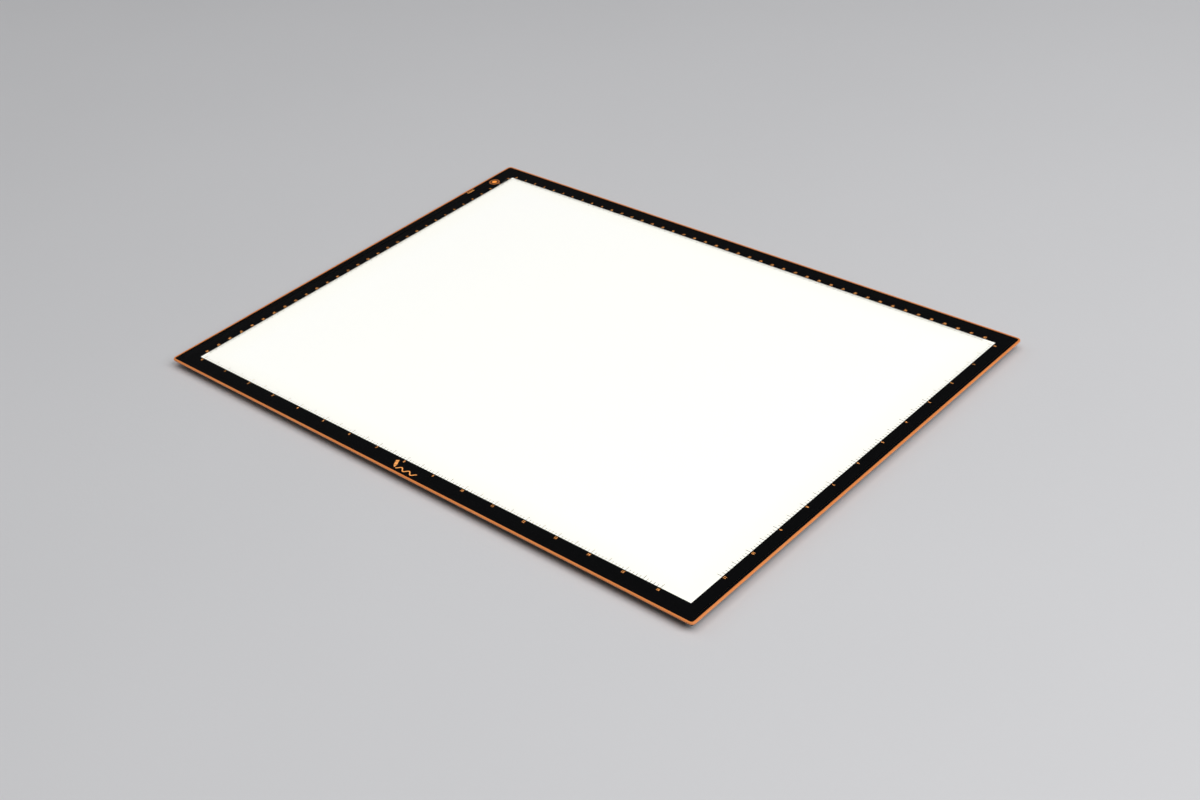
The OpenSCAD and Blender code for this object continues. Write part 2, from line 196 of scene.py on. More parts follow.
@dataclass(frozen=True)
class Finish:
    """What one real material looks like. A subclass adds its pattern."""

    name: str
    colour: str = "#808080"
    roughness: float = 0.5
    ior: float = 1.5
    metallic: float = 0.0

    def build(self) -> Material:
        """Makes the Blender material, once.

        Returns:
            The material, shared by all pieces with this finish.
        """
        known = bpy.data.materials.get(self.name)
        if known is not None and known.get("made_here"):
            return known
        material = bpy.data.materials.new(self.name)
        material["made_here"] = True
        material.use_nodes = True
        tree = material.node_tree
        tree.nodes.clear()
        where = add_node(tree, "ShaderNodeTexCoord").outputs["Object"]
        add_node(tree, "ShaderNodeOutputMaterial", inputs={"Surface": self.surface(tree, where)})
        return material

    def base(self, tree: Tree) -> Node:
        """Adds the Principled shader with this finish's plain values.

        Args:
            tree: The material's node tree.

        Returns:
            The shader's node.
        """
        return add_node(
            tree, "ShaderNodeBsdfPrincipled",
            inputs={
                "Base Color": linear(self.colour), "Roughness": self.roughness,
                "IOR": self.ior, "Metallic": self.metallic,
            },
        )

    def surface(self, tree: Tree, where: Socket) -> Socket:
        """Builds the surface shader.

        Args:
            tree: The material's node tree.
            where: The piece's Object coordinates.

        Returns:
            The shader's output.
        """
        return self.base(tree).outputs["BSDF"]


@dataclass(frozen=True)
class MouldedPlastic(Finish):
    """Injection moulded plastic: spark-eroded grain, with faint flow marks in colour and gloss.

    The grain is its size and its depth in millimetres.
    """

    grain: tuple[float, float] = (0.35, 0.01)
    flow_colour: str = "#808080"
    flow_mm: float = 30.0
    polish: float = 0.08
    marks_per_grain: float = 6.0

    def surface(self, tree: Tree, where: Socket) -> Socket:
        """Builds grain, flow marks and handling marks.

        Args:
            tree: The material's node tree.
            where: The piece's Object coordinates.

        Returns:
            The shader's output.
        """
        shader = self.base(tree)
        size_mm, depth_mm = self.grain
        marks_mm = size_mm * self.marks_per_grain
        flow = add_node(tree, NOISE, inputs=noise_inputs(where, self.flow_mm, 4))
        marks = add_node(tree, NOISE, inputs=noise_inputs(where, marks_mm, 5))
        grain = add_node(tree, NOISE, inputs=noise_inputs(where, size_mm, 2))
        apply_pattern(shader, flow.outputs["Fac"], [(0.3, self.colour), (0.75, self.flow_colour)])
        gloss = (self.roughness - self.polish, self.roughness + self.polish)
        apply_pattern(shader, marks.outputs["Fac"], gloss=gloss)
        apply_pattern(shader, grain.outputs["Fac"], depth_mm=depth_mm)
        return shader.outputs["BSDF"]


@dataclass(frozen=True)
class PrintedInk(Finish):
    """Screen printed ink seen through the clear sheet: nearly even, with a trace of mesh mottle."""

    mottle_colour: str = "#808080"
    mottle_mm: float = 0.6
    glow: float = 0.0
    specular: float = 0.05

    def surface(self, tree: Tree, where: Socket) -> Socket:
        """Builds the mottled ink.

        Args:
            tree: The material's node tree.
            where: The piece's Object coordinates.

        Returns:
            The shader's output.
        """
        shader = self.base(tree)
        mottle = add_node(tree, NOISE, inputs=noise_inputs(where, self.mottle_mm, 2))
        stops = [(0.35, self.colour), (0.7, self.mottle_colour)]
        apply_pattern(shader, mottle.outputs["Fac"], stops, ("Base Color", "Emission Color"))
        # The emission is a painted glow in the ink's own colour: the ink is no lamp.
        shader.inputs["Emission Strength"].default_value = self.glow
        shader.inputs["Specular IOR Level"].default_value = self.specular
        return shader.outputs["BSDF"]


@dataclass(frozen=True)
class ClearHardCoat(Finish):
    """Clear hard-coated polyester over the face: a soft sheen and a view of what lies below.

    It reflects only from outside, so that no light is trapped between it and the plate.
    """

    sheen: float = 0.4
    ripple_mm: float = 80.0
    ripple_depth_mm: float = 0.02
    ripple_strength: float = 0.1
    smear_mm: float = 9.0
    smear: float = 0.2

    def surface(self, tree: Tree, where: Socket) -> Socket:
        """Builds a clear layer with a Fresnel sheen.

        Args:
            tree: The material's node tree.
            where: The piece's Object coordinates.

        Returns:
            The shader's output.
        """
        clear = add_node(tree, "ShaderNodeBsdfTransparent", inputs={"Color": linear(self.colour)})
        sheen = add_node(tree, "ShaderNodeBsdfGlossy")
        ripple = add_node(tree, NOISE, inputs=noise_inputs(where, self.ripple_mm, 1))
        smears = add_node(tree, NOISE, inputs=noise_inputs(where, self.smear_mm, 4))
        gloss = (self.roughness * (1 - self.smear), self.roughness * (1 + self.smear))
        apply_pattern(
            sheen, ripple.outputs["Fac"], depth_mm=self.ripple_depth_mm, strength=self.ripple_strength
        )
        apply_pattern(sheen, smears.outputs["Fac"], gloss=gloss)
        edge = add_node(tree, "ShaderNodeFresnel", inputs={"IOR": self.ior})
        inside = add_node(tree, "ShaderNodeNewGeometry").outputs["Backfacing"]
        outside = add_node(
            tree, "ShaderNodeMapRange", inputs={"Value": inside, "To Min": self.sheen, "To Max": 0.0}
        )
        share = add_node(
            tree, "ShaderNodeMath", {"operation": "MULTIPLY"},
            {0: edge.outputs["Fac"], 1: outside.outputs["Result"]},
        )
        layers = {"Fac": share.outputs["Value"], 1: clear.outputs["BSDF"], 2: sheen.outputs["BSDF"]}
        return add_node(tree, "ShaderNodeMixShader", inputs=layers).outputs["Shader"]


@dataclass(frozen=True)
class LitOpal(Finish):
    """Opal acrylic lit from below: even white light, a little warmer and weaker at its edges."""

    glow: str = "#FFFFFB"
    rim_glow: str = "#FFFDF2"
    strength: float = 1.0
    half_size: tuple[float, float] = (0.2, 0.15)
    centre: tuple[float, float] = (0.0, 0.0)
    fall_off_from: float = 0.9
    texture_mm: float = 0.5
    texture_depth_mm: float = 0.004

    def surface(self, tree: Tree, where: Socket) -> Socket:
        """Builds the glow with its fall-off towards the window's edges.

        Args:
            tree: The material's node tree.
            where: The piece's Object coordinates.

        Returns:
            The shader's output.
        """
        shader = self.base(tree)
        placed = plan_inputs(where, self.centre, self.half_size)
        centred = add_node(tree, "ShaderNodeMapping", inputs=placed).outputs["Vector"]
        parts = add_node(tree, "ShaderNodeSeparateXYZ", inputs={"Vector": centred}).outputs
        across, along = [
            add_node(tree, "ShaderNodeMath", {"operation": "ABSOLUTE"}, {0: parts[axis]}).outputs["Value"]
            for axis in ("X", "Y")
        ]
        edge = add_node(tree, "ShaderNodeMath", {"operation": "MAXIMUM"}, {0: across, 1: along})
        stops = [(self.fall_off_from, self.glow), (1.0, self.rim_glow)]
        apply_pattern(shader, edge.outputs["Value"], stops, ("Emission Color",))
        shader.inputs["Emission Strength"].default_value = self.strength
        texture = add_node(tree, NOISE, inputs=noise_inputs(where, self.texture_mm, 2))
        apply_pattern(shader, texture.outputs["Fac"], depth_mm=self.texture_depth_mm)
        return shader.outputs["BSDF"]


@dataclass(frozen=True)
class ClearAcrylic(Finish):
    """Cast acrylic light guide: clear, with a grid of white dots printed on its back."""

    dot_pitch_mm: float = 3.0
    dot_edge: tuple[float, float] = (0.2, 0.24)
    clarity: float = 0.9

    def surface(self, tree: Tree, where: Socket) -> Socket:
        """Builds clear acrylic with its dot print.

        Args:
            tree: The material's node tree.
            where: The piece's Object coordinates.

        Returns:
            The shader's output.
        """
        shader = self.base(tree)
        shader.inputs["Transmission Weight"].default_value = self.clarity
        dots = add_node(
            tree, "ShaderNodeTexVoronoi", {"voronoi_dimensions": "2D"},
            {"Vector": where, "Scale": per_metre(self.dot_pitch_mm), "Randomness": 0.0},
        )
        inner, outer = self.dot_edge
        apply_pattern(shader, dots.outputs["Distance"], [(inner, "#FFFFFF"), (outer, self.colour)])
        return shader.outputs["BSDF"]


@dataclass(frozen=True)
class DrawnMetal(Finish):
    """Rolled, drawn or extruded metal: fine lines along one axis that change its gloss."""

    along: tuple[float, float, float] = (0.02, 1.0, 1.0)
    line_mm: float = 0.25
    line_depth_mm: float = 0.004
    tone: str = "#808080"
    polish: float = 0.08
    wear: float = 0.1

    def surface(self, tree: Tree, where: Socket) -> Socket:
        """Builds the drawn lines.

        Args:
            tree: The material's node tree.
            where: The piece's Object coordinates.

        Returns:
            The shader's output.
        """
        shader = self.base(tree)
        drawn = add_node(tree, "ShaderNodeMapping", inputs={"Vector": where, "Scale": self.along})
        lines = add_node(tree, NOISE, inputs=noise_inputs(drawn.outputs["Vector"], self.line_mm, 3))
        apply_pattern(
            shader, lines.outputs["Fac"], [(0.3, self.colour), (0.7, self.tone)],
            gloss=(self.roughness - self.polish, self.roughness + self.wear),
            depth_mm=self.line_depth_mm,
        )
        return shader.outputs["BSDF"]


@dataclass(frozen=True)
class CircuitBoard(Finish):
    """Glass epoxy board under solder mask: raised copper tracks and a woven trace in the gloss."""

    track: str = "#808080"
    track_mm: float = 1.4
    track_edge: tuple[float, float] = (0.42, 0.46)
    track_depth_mm: float = 0.02
    track_strength: float = 0.5
    weave_mm: float = 0.3
    weave: float = 0.06

    def surface(self, tree: Tree, where: Socket) -> Socket:
        """Builds the tracks under the mask.

        Args:
            tree: The material's node tree.
            where: The piece's Object coordinates.

        Returns:
            The shader's output.
        """
        shader = self.base(tree)
        cells = add_node(
            tree, "ShaderNodeTexVoronoi", {"distance": "MANHATTAN", "feature": "F1"},
            {"Vector": where, "Scale": per_metre(self.track_mm * 2)},
        )
        inner, outer = self.track_edge
        apply_pattern(
            shader, cells.outputs["Distance"], [(inner, self.colour), (outer, self.track)],
            depth_mm=self.track_depth_mm, strength=self.track_strength,
        )
        woven = add_node(tree, NOISE, inputs=noise_inputs(where, self.weave_mm, 2))
        gloss = (self.roughness - self.weave, self.roughness + self.weave)
        apply_pattern(shader, woven.outputs["Fac"], gloss=gloss)
        return shader.outputs["BSDF"]


@dataclass(frozen=True)
class BacklitPlastic(MouldedPlastic):
    """Moulded plastic with a painted glow round its middle that fades outwards."""

    glow: str = "#FFFFFF"
    strength: float = 0.5
    centre: tuple[float, float] = (0.0, 0.0)
    reach: float = 2.6 * MM
    colour_from: float = 0.55

    def surface(self, tree: Tree, where: Socket) -> Socket:
        """Adds a glow that fades outwards to the moulded plastic.

        Args:
            tree: The material's node tree.
            where: The piece's Object coordinates.

        Returns:
            The shader's output.
        """
        surface = super().surface(tree, where)
        shader = surface.node
        half_size = (self.reach, self.reach)
        centred = add_node(tree, "ShaderNodeMapping", inputs=plan_inputs(where, self.centre, half_size))
        distance = add_node(
            tree, "ShaderNodeVectorMath", {"operation": "LENGTH"}, {0: centred.outputs["Vector"]}
        )
        # Painted glow: emission that is pale in the middle and fades to none at its reach.
        stops = [(0.0, self.glow), (self.colour_from, self.colour), (1.0, "#000000")]
        apply_pattern(shader, distance.outputs["Value"], stops, ("Emission Color",))
        shader.inputs["Emission Strength"].default_value = self.strength
        return surface


# Mesh helpers


def new_piece(name: str, mesh: Mesh, material: Material) -> bpy.types.Object:
    """Links a mesh to the scene as a piece with one material.

    Args:
        name: The piece's name.
        mesh: Its mesh, in place in the row frame.
        material: Its material.

    Returns:
        The new object, at the origin.
    """
    mesh.name = name
    mesh.materials.clear()
    mesh.materials.append(material)
    piece = bpy.data.objects.new(name, mesh)
    bpy.context.scene.collection.objects.link(piece)
    return piece


def settle(piece: bpy.types.Object, body: str, slot: str, *nodes: str) -> None:
    """Rides a finished piece on its body and reports it.

    Args:
        piece: The piece.
        body: The CAD body that it moves with.
        slot: The record's material slot. It is not used.
        *nodes: CAD nodes that it stands for.
    """
    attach(piece, body)
    if nodes:
        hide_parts(*nodes)
    log.info("%s: %d faces on body %s", piece.name, len(piece.data.polygons), body)


def dress(node: str, finish: Finish) -> None:
    """Gives a CAD node its finish.

    Args:
        node: The node's name.
        finish: The finish.
    """
    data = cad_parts[node].data
    material = finish.build()
    if data.materials:
        for i in range(len(data.materials)):
            data.materials[i] = material
    else:
        data.materials.append(material)
    log.info("%s: %s", node, finish.name)


def slab(outline: Sequence[Vector], low: float, high: float) -> Mesh:
    """A flat closed plate from an outline.

    Args:
        outline: Corners in plan, counter-clockwise seen from above.
        low: The height of its underside.
        high: The height of its top.

    Returns:
        The mesh.
    """
    mesh = bpy.data.meshes.new("slab")
    built = bmesh.new()
    count = len(outline)
    under = [built.verts.new((p.x, p.y, low)) for p in outline]
    over = [built.verts.new((p.x, p.y, high)) for p in outline]
    built.faces.new(list(reversed(under)))
    built.faces.new(over)
    for i in range(count):
        j = (i + 1) % count
        built.faces.new((under[i], under[j], over[j], over[i]))
    bmesh.ops.triangulate(built, faces=[f for f in built.faces if len(f.verts) > 4])
    bmesh.ops.recalc_face_normals(built, faces=built.faces)
    built.to_mesh(mesh)
    built.free()
    return mesh


def plain_mesh(holder: bpy.types.Object) -> Mesh:
    """Evaluates an object that only holds a curve or modifiers, and removes it.

    Args:
        holder: The object, not yet in the scene.

    Returns:
        What it evaluates to.
    """
    bpy.context.scene.collection.objects.link(holder)
    graph = bpy.context.evaluated_depsgraph_get()
    mesh = bpy.data.meshes.new_from_object(holder.evaluated_get(graph))
    bpy.data.objects.remove(holder)
    return mesh


def joined(name: str, meshes: Iterable[Mesh]) -> Mesh:
    """Puts several meshes into one and removes them.

    Args:
        name: The name of the result.
        meshes: The meshes, already in place.

    Returns:
        The joined mesh.
    """
    built = bmesh.new()
    for mesh in meshes:
        built.from_mesh(mesh)
        bpy.data.meshes.remove(mesh)
    result = bpy.data.meshes.new(name)
    built.to_mesh(result)
    built.free()
    return result


def ribbon(points: Sequence[Vector], width: float, low: float, high: float) -> Mesh:
    """A flat closed line of even width.

    Args:
        points: The line's points in plan.
        width: Its width.
        low: The height of its underside.
        high: The height of its top.

    Returns:
        The mesh.
    """
    built = bmesh.new()
    rings = []
    for i, point in enumerate(points):
        way = (points[min(i + 1, len(points) - 1)] - points[max(i - 1, 0)]).normalized()
        side = Vector((-way.y, way.x)) * width / 2
        left, right = point + side, point - side
        corners = ((left, low), (right, low), (right, high), (left, high))
        rings.append([built.verts.new((p.x, p.y, z)) for p, z in corners])
    for a, b in zip(rings, rings[1:]):
        for i in range(len(a)):
            j = (i + 1) % len(a)
            built.faces.new((a[i], a[j], b[j], b[i]))
    built.faces.new(rings[0])
    built.faces.new(rings[-1])
    bmesh.ops.recalc_face_normals(built, faces=built.faces)
    mesh = bpy.data.meshes.new("ribbon")
    built.to_mesh(mesh)
    built.free()
    return mesh


# The printed scales


class Side(Enum):
    """The four sides of the lit window."""

    FRONT = "front"
    RIGHT = "right"
    BACK = "back"
    LEFT = "left"


@dataclass(frozen=True)
class Window:
    """The lit window's edges, from the hole in the printed border."""

    left: float
    right: float
    front: float
    back: float

    @property
    def centre(self) -> tuple[float, float]:
        """Its middle in plan."""
        return (self.left + self.right) / 2, (self.front + self.back) / 2

    @property
    def half_size(self) -> tuple[float, float]:
        """Half its width and depth."""
        return (self.right - self.left) / 2, (self.back - self.front) / 2


def find_window() -> Window:
    """Finds the lit window from the border print's mesh, leaving out its outline and the key's hole.

    Returns:
        The window.
    """
    low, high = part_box("border_print")
    key_low, key_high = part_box("key_ring")
    edge = 5 * MM
    margin = 0.5 * MM
    inner = [
        p for p in (v.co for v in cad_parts["border_print"].data.vertices)
        if low.x + edge < p.x < high.x - edge and low.y + edge < p.y < high.y - edge
        and not (p.x < key_high.x + margin and key_low.y - margin < p.y < key_high.y + margin)
    ]
    xs, ys = [p.x for p in inner], [p.y for p in inner]
    return Window(min(xs), max(xs), min(ys), max(ys))


@dataclass(frozen=True)
class Scale:
    """One printed scale: where it runs, its units and its ticks.

    It counts from zero, which stands some way along its edge, to last in steps of unit. Each unit
    has so many parts, every half_tick-th tick is a long one, and long is that tick's length.
    """

    side: Side
    unit: float
    last: int
    zero: float
    parts: int
    half_tick: int
    long: float

    def start(self, window: Window) -> Vector:
        """The place of its zero, on the window's edge."""
        return {
            Side.FRONT: Vector((window.left + self.zero, window.front)),
            Side.BACK: Vector((window.left + self.zero, window.back)),
            Side.LEFT: Vector((window.left, window.back - self.zero)),
            Side.RIGHT: Vector((window.right, window.back - self.zero)),
        }[self.side]

    @property
    def run(self) -> Vector:
        """The direction in which it counts."""
        return Vector((1, 0)) if self.side in (Side.FRONT, Side.BACK) else Vector((0, -1))

    @property
    def inward(self) -> Vector:
        """The direction from its edge into the window."""
        return {
            Side.FRONT: Vector((0, 1)), Side.BACK: Vector((0, -1)),
            Side.LEFT: Vector((1, 0)), Side.RIGHT: Vector((-1, 0)),
        }[self.side]

    @property
    def turn(self) -> float:
        """How far its numerals are turned: they all read along the scale."""
        return 0.0 if self.side in (Side.FRONT, Side.BACK) else -math.pi / 2


class TickTree:
    """A Geometry Nodes tree that stands a row of ticks along +X, each running into +Y."""

    SIZES: tuple[tuple[str, str], ...] = (
        ("Count", "NodeSocketInt"), ("Pitch", "NodeSocketFloat"), ("Width", "NodeSocketFloat"),
        ("Short", "NodeSocketFloat"), ("Long", "NodeSocketFloat"), ("Every", "NodeSocketInt"),
        ("Thickness", "NodeSocketFloat"),
    )

    def __init__(self, material: Material) -> None:
        """Builds the tree.

        Args:
            material: The ink that the ticks get.
        """
        tree = bpy.data.node_groups.new("tick_row", "GeometryNodeTree")
        self.tree = tree
        face = tree.interface
        self.identifiers = {
            name: face.new_socket(name, in_out="INPUT", socket_type=kind).identifier
            for name, kind in self.SIZES
        }
        face.new_socket("Geometry", in_out="OUTPUT", socket_type="NodeSocketGeometry")
        given = add_node(tree, "NodeGroupInput").outputs
        step = add_node(tree, "ShaderNodeCombineXYZ", inputs={"X": given["Pitch"]})
        line = add_node(
            tree, "GeometryNodeMeshLine",
            inputs={"Count": given["Count"], "Offset": step.outputs["Vector"]},
        )
        bar = add_node(tree, "GeometryNodeMeshCube", inputs={"Size": (1, 1, 1)})
        based = add_node(
            tree, "GeometryNodeTransform",
            inputs={"Geometry": bar.outputs["Mesh"], "Translation": (0, 0.5, 0.5)},
        )
        index = add_node(tree, "GeometryNodeInputIndex")
        rest = add_node(
            tree, "ShaderNodeMath", {"operation": "MODULO"},
            {0: index.outputs["Index"], 1: given["Every"]},
        )
        is_long = add_node(
            tree, "ShaderNodeMath", {"operation": "LESS_THAN"}, {0: rest.outputs["Value"], 1: 0.5}
        )
        length = add_node(
            tree, "ShaderNodeMix",
            inputs={"Factor": is_long.outputs["Value"], "A": given["Short"], "B": given["Long"]},
        )
        size = add_node(
            tree, "ShaderNodeCombineXYZ",
            inputs={"X": given["Width"], "Y": length.outputs["Result"], "Z": given["Thickness"]},
        )
        stood = add_node(
            tree, "GeometryNodeInstanceOnPoints",
            inputs={
                "Points": line.outputs["Mesh"], "Instance": based.outputs["Geometry"],
                "Scale": size.outputs["Vector"],
            },
        )
        real = add_node(
            tree, "GeometryNodeRealizeInstances", inputs={"Geometry": stood.outputs["Instances"]}
        )
        inked = add_node(
            tree, "GeometryNodeSetMaterial",
            inputs={"Geometry": real.outputs["Geometry"], "Material": material},
        )
        add_node(tree, "NodeGroupOutput", inputs={"Geometry": inked.outputs["Geometry"]})

    def make(self, name: str, **sizes: float) -> Mesh:
        """Runs the tree once.

        Args:
            name: The name of the mesh.
            **sizes: A value for each of SIZES.

        Returns:
            The row as a plain mesh.
        """
        holder = bpy.data.objects.new(name, bpy.data.meshes.new(name))
        modifier = holder.modifiers.new("ticks", "NODES")
        modifier.node_group = self.tree
        for size, value in sizes.items():
            modifier[self.identifiers[size]] = value
        return plain_mesh(holder)


@dataclass
class Numerals:
    """Numerals of one height, set as flat type and given a trace of thickness."""

    height: float = 2.0 * MM
    narrowing: float = 0.82
    ink: float = 0.008 * MM
    cap_share: float = 0.7
    bolder: float = 0.05 * MM
    curve_steps: int = 4
    made: dict[str, Mesh] = field(default_factory=dict)

    def typeset(self, text: str) -> Mesh:
        """Sets digits as type.

        Args:
            text: The digits.

        Returns:
            Their mesh, where the type puts them.
        """
        curve = bpy.data.curves.new("numeral", "FONT")
        curve.body = text
        curve.size = self.height / self.cap_share
        curve.extrude = self.ink / 2
        curve.offset = self.bolder
        curve.resolution_u = self.curve_steps
        mesh = plain_mesh(bpy.data.objects.new("numeral", curve))
        bpy.data.curves.remove(curve)
        return mesh

    def mesh(self, text: str) -> Mesh:
        """The mesh of one numeral, centred on the origin.

        Args:
            text: The numeral's digits.

        Returns:
            A mesh that stays in the store and is copied for each use.
        """
        if text not in self.made:
            mesh = self.typeset(text)
            points = [v.co for v in mesh.vertices]
            low = Vector([min(p[i] for p in points) for i in range(3)])
            high = Vector([max(p[i] for p in points) for i in range(3)])
            shrink = self.height / (high.y - low.y)
            sized = Matrix.Diagonal((shrink * self.narrowing, shrink, 1, 1))
            mesh.transform(sized @ Matrix.Translation(-(low + high) / 2))
            self.made[text] = mesh
        return self.made[text]

    def clear(self) -> None:
        """Removes the stored meshes."""
        for mesh in self.made.values():
            bpy.data.meshes.remove(mesh)
        self.made.clear()


@dataclass
class PrintedScales:
    """The ticks on the lit window and the numerals in the border."""

    window: Window
    height: float
    tick_ink: Finish
    numeral_ink: Finish
    tick_width: float = 0.26 * MM
    short: float = 2.0 * MM
    thickness: float = 0.01 * MM
    numeral_out: float = 1.7 * MM
    scales: tuple[Scale, ...] = (
        Scale(Side.FRONT, INCH, 16, 3.8 * MM, 10, 5, 3.6 * MM),
        Scale(Side.RIGHT, INCH, 11, 3.6 * MM, 10, 5, 3.6 * MM),
        Scale(Side.BACK, 10 * MM, 42, 2.8 * MM, 10, 5, 2.7 * MM),
        Scale(Side.LEFT, 10 * MM, 30, 3.1 * MM, 10, 5, 2.7 * MM),
    )

    def place(self, scale: Scale) -> Matrix:
        """Finds where a row of ticks goes.

        Args:
            scale: The scale.

        Returns:
            The matrix that brings a row along +X, running into +Y, to the scale's edge.
        """
        start = scale.start(self.window)
        run, inward = scale.run, scale.inward
        return Matrix((
            (run.x, inward.x, 0, start.x), (run.y, inward.y, 0, start.y),
            (0, 0, 1, self.height), (0, 0, 0, 1),
        ))

    def build_ticks(self) -> None:
        """Makes one piece of ticks for each side."""
        tree = TickTree(self.tick_ink.build())
        for scale in self.scales:
            pitch = scale.unit / scale.parts
            name = f"ticks_{scale.side.value}"
            mesh = tree.make(
                name, Count=scale.last * scale.parts + 1, Pitch=pitch, Width=self.tick_width,
                Short=self.short, Long=scale.long, Every=scale.half_tick, Thickness=self.thickness,
            )
            place = self.place(scale)
            mesh.transform(place)
            if place.determinant() < 0:
                mesh.flip_normals()
            settle(new_piece(name, mesh, self.tick_ink.build()), ROOT, "black_ink")

    def build_numerals(self) -> None:
        """Makes one piece of numerals for each side."""
        store = Numerals()
        for scale in self.scales:
            name = f"numerals_{scale.side.value}"
            copies = []
            for i in range(scale.last + 1):
                along = scale.start(self.window) + scale.run * scale.unit * i
                at = along - scale.inward * self.numeral_out
                mesh = store.mesh(str(i)).copy()
                place = Matrix.Translation((at.x, at.y, self.height + store.ink / 2))
                mesh.transform(place @ Matrix.Rotation(scale.turn, 4, "Z"))
                copies.append(mesh)
            piece = new_piece(name, joined(name, copies), self.numeral_ink.build())
            settle(piece, ROOT, "orange_plastic")
        store.clear()

    def build(self) -> None:
        """Builds all the scales."""
        self.build_ticks()
        self.build_numerals()


@dataclass
class PrintedMarks:
    """The pencil motif on the front border and the direct-current symbol beside the inlet."""

    window: Window
    height: float
    ink: Finish
    thickness: float = 0.01 * MM
    tip_out: float = 9.4 * MM
    tip_left: float = 206 * MM
    pencil_length: float = 7.2 * MM
    pencil_width: float = 2.2 * MM
    pencil_lean: float = 118.0
    pencil_gap: float = 0.35 * MM
    pencil_cap: float = 1.65 * MM
    wave_start: float = 1.2 * MM
    wave_length: float = 16.5 * MM
    wave_height: float = 2.4 * MM
    waves: float = 2.5
    wave_steps: int = 80
    line: float = 0.8 * MM
    dashes: int = 3
    dash_length: float = 1.54 * MM
    dash_pitch: float = 2.38 * MM
    symbol_length: float = 7.0 * MM
    symbol_gap: float = 1.5 * MM
    symbol_out: float = 12.1 * MM
    symbol_line: float = 0.6 * MM

    @property
    def tip(self) -> Vector:
        """Where the pencil's point rests."""
        return Vector((self.window.left + self.tip_left, self.window.front - self.tip_out))

    def pencil(self) -> list[Mesh]:
        """A pencil whose point rests at the start of the wave.

        Returns:
            Its point, barrel and cap as three plates.
        """
        half = self.pencil_width / 2
        tapered = self.pencil_width
        cap_from = self.pencil_length - self.pencil_cap
        spans = (
            (tapered + self.pencil_gap, cap_from - self.pencil_gap), (cap_from, self.pencil_length)
        )
        shapes = [[(0, 0), (tapered, -half), (tapered, half)]]
        shapes += [[(low, -half), (high, -half), (high, half), (low, half)] for low, high in spans]
        turn = Matrix.Rotation(math.radians(self.pencil_lean), 2)
        return [
            slab([self.tip + turn @ Vector(p) for p in shape], self.height, self.height + self.thickness)
            for shape in shapes
        ]

    def wave(self) -> Mesh:
        """The drawn wave: it starts low beside the point and ends high.

        Returns:
            The wave as one ribbon.
        """
        start = self.tip + Vector((self.wave_start, 0))
        points = []
        for i in range(self.wave_steps + 1):
            share = i / self.wave_steps
            rise = (1 - math.cos(share * self.waves * math.tau)) / 2 * self.wave_height
            points.append(start + Vector((share * self.wave_length, rise)))
        return self.drawn(points, self.line)

    def drawn(self, points: Sequence[Vector], width: float) -> Mesh:
        """Draws a line of ink on the border.

        Args:
            points: The line's points in plan.
            width: Its width.

        Returns:
            The line's mesh.
        """
        return ribbon(points, width, self.height, self.height + self.thickness)

    def symbol(self) -> list[Mesh]:
        """The direct-current symbol: one long line over three dashes, along the left border.

        Returns:
            The four bars.
        """
        low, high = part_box("socket_shell")
        middle = (low.y + high.y) / 2
        across = self.window.left - self.symbol_out
        bars = [(across + self.symbol_gap / 2, middle, self.symbol_length)]
        for i in range(self.dashes):
            place = middle + (i - (self.dashes - 1) / 2) * self.dash_pitch
            bars.append((across - self.symbol_gap / 2, place, self.dash_length))
        return [
            self.drawn([Vector((x, y - length / 2)), Vector((x, y + length / 2))], self.symbol_line)
            for x, y, length in bars
        ]

    def build(self) -> None:
        """Builds both marks."""
        marks = {"motif": [*self.pencil(), self.wave()], "inlet_symbol": self.symbol()}
        for name, meshes in marks.items():
            settle(new_piece(name, joined(name, meshes), self.ink.build()), ROOT, "orange_plastic")


# Underside


